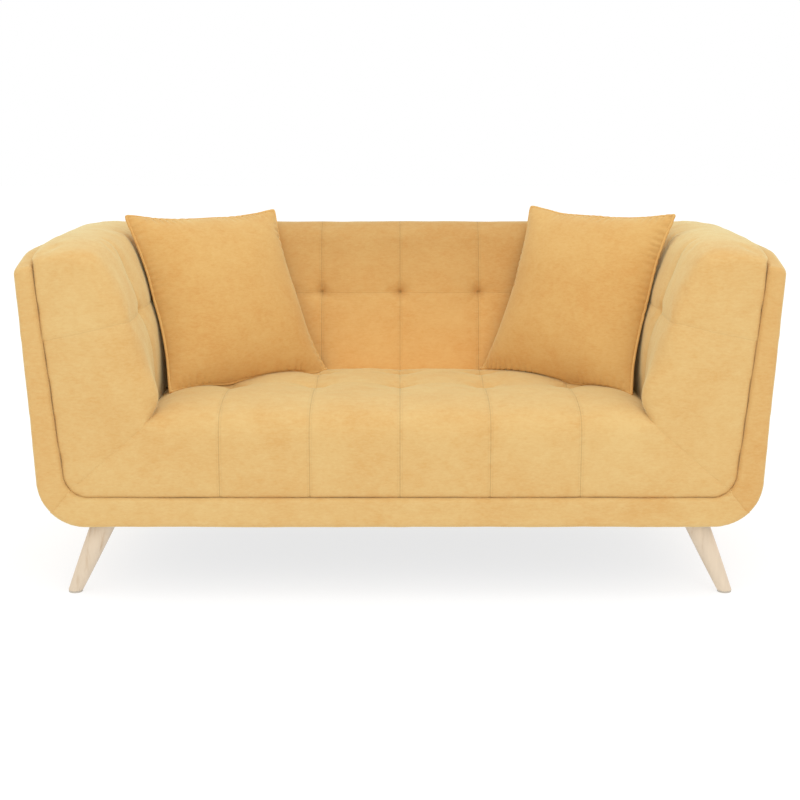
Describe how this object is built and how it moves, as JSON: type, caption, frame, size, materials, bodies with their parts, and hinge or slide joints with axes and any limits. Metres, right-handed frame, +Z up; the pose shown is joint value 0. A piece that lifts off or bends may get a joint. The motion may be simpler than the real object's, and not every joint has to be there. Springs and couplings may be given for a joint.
{
  "type": "two-seat sofa",
  "caption": "Two-seat tub sofa with tufted seat, back and arms, a padded outer shell, splayed wooden legs and loose piped scatter cushions.",
  "frame": {"origin": "on the floor, under the middle of the sofa", "axes": "+X to the right seen from the front, +Y to the back, +Z up; the sofa faces -Y"},
  "size_m": [1.6986, 0.8, 0.8121],
  "materials": {
    "sofa_fabric": "matte",
    "cushion_fabric": "matte",
    "piping_fabric": "matte",
    "cushion_filling": "matte",
    "zip": "matte",
    "foam": "matte",
    "wadding": "matte",
    "leg_wood": "satin",
    "board": "matte",
    "spring_steel": "satin",
    "zinc_steel": "satin",
    "webbing": "matte",
    "twine": "matte",
    "dust_cloth": "matte",
    "glide_plastic": "matte",
    "frame_wood": "matte"
  },
  "bodies": {
    "sofa": {"arm_foam_left": "foam", "arm_foam_right": "foam", "arm_front_post_left": "frame_wood", "arm_front_post_right": "frame_wood", "arm_inside_cover_left": "sofa_fabric", "arm_inside_cover_right": "sofa_fabric", "arm_rear_post_left": "frame_wood", "arm_rear_post_right": "frame_wood", "arm_top_board_left": "frame_wood", "arm_top_board_right": "frame_wood", "arm_tuft_ties": "twine", "back_bottom_rail": "frame_wood", "back_foam": "foam", "back_inside_cover": "sofa_fabric", "back_post_centre": "frame_wood", "back_post_left": "frame_wood", "back_post_right": "frame_wood", "back_top_rail": "frame_wood", "back_tuft_ties": "twine", "back_webbing": "webbing", "centre_base_rail": "frame_wood", "dust_cover": "dust_cloth", "foot_glides": "glide_plastic", "frame_screws": "zinc_steel", "front_base_rail": "frame_wood", "front_border_cover": "sofa_fabric", "front_border_wadding": "wadding", "leg_bolts": "zinc_steel", "leg_corner_blocks": "frame_wood", "leg_front_left": "leg_wood", "leg_front_right": "leg_wood", "leg_plate_screws": "zinc_steel", "leg_plates": "zinc_steel", "leg_rear_left": "leg_wood", "leg_rear_right": "leg_wood", "rear_base_rail": "frame_wood", "rear_outer_cover": "sofa_fabric", "rear_panel_board": "board", "rear_wadding": "wadding", "seat_cover": "sofa_fabric", "seat_foam": "foam", "seat_springs": "spring_steel", "seat_tuft_ties": "twine", "side_base_rail_left": "frame_wood", "side_base_rail_right": "frame_wood", "side_outer_cover_left": "sofa_fabric", "side_outer_cover_right": "sofa_fabric", "side_panel_board_left": "board", "side_panel_board_right": "board", "side_wadding_left": "wadding", "side_wadding_right": "wadding", "spring_clips": "spring_steel"},
    "left_cushion": {"cushion_cover_left": "cushion_fabric", "cushion_filling_left": "cushion_filling", "cushion_piping_left": "piping_fabric", "cushion_zip_left": "zip"},
    "right_cushion": {"cushion_cover_right": "cushion_fabric", "cushion_filling_right": "cushion_filling", "cushion_piping_right": "piping_fabric", "cushion_zip_right": "zip"}
  },
  "joints": [
    {"name": "left_cushion_lift", "type": "slide", "parent": "sofa", "child": "left_cushion", "axis": [0, 0, 1], "range_m": [0, 0.45]},
    {"name": "right_cushion_lift", "type": "slide", "parent": "sofa", "child": "right_cushion", "axis": [0, 0, 1], "range_m": [0, 0.45]}
  ]
}
